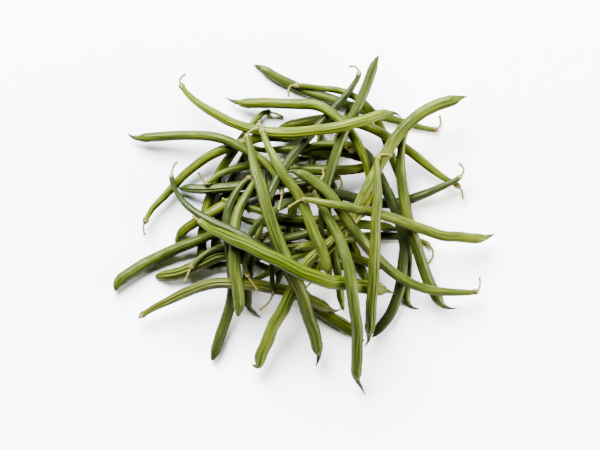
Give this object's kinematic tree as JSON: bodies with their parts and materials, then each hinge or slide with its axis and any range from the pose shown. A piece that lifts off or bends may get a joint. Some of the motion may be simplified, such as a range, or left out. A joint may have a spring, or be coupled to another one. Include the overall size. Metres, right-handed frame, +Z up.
{
  "type": "green bean bundle",
  "caption": "Loose bundle of whole fresh green beans, long slim curved pods with stalks and pointed tails, lying criss-cross in a low open pile.",
  "frame": {"origin": "centre of the footprint, on the surface the bundle lies on", "axes": "+Z up from the surface, +X and +Y along the surface, the beans radiating to every side"},
  "size_m": [0.2642, 0.2358, 0.0578],
  "materials": {
    "bright": "satin waxy yellow-green skin",
    "pale": "satin waxy light green skin",
    "leaf": "satin waxy mid green skin",
    "olive": "satin waxy olive green skin",
    "deep": "satin waxy dark green skin"
  },
  "bodies": {
    "root": {"bean_01": "deep", "bean_02": "deep", "bean_03": "deep", "bean_04": "deep", "bean_05": "deep", "bean_06": "deep", "bean_07": "deep", "bean_08": "deep", "bean_09": "deep", "bean_10": "deep", "bean_11": "deep", "bean_12": "deep", "bean_13": "leaf", "bean_14": "deep", "bean_15": "deep", "bean_16": "leaf", "bean_17": "leaf", "bean_18": "deep", "bean_19": "leaf", "bean_20": "leaf", "bean_21": "leaf", "bean_22": "deep", "bean_23": "leaf", "bean_24": "deep", "bean_25": "olive", "bean_26": "deep", "bean_27": "pale", "bean_28": "pale", "bean_29": "leaf", "bean_30": "leaf", "bean_31": "leaf", "bean_32": "deep", "bean_33": "leaf", "bean_34": "leaf", "bean_35": "deep", "bean_36": "deep", "bean_37": "deep", "bean_38": "deep", "bean_39": "olive", "bean_40": "deep", "bean_41": "leaf", "bean_42": "deep", "bean_43": "leaf", "bean_44": "leaf", "bean_45": "pale", "bean_46": "pale", "bean_47": "pale", "bean_48": "leaf", "bean_49": "pale", "bean_50": "bright", "bean_51": "pale", "bean_52": "pale", "bean_53": "pale", "bean_54": "leaf"}
  },
  "joints": []
}
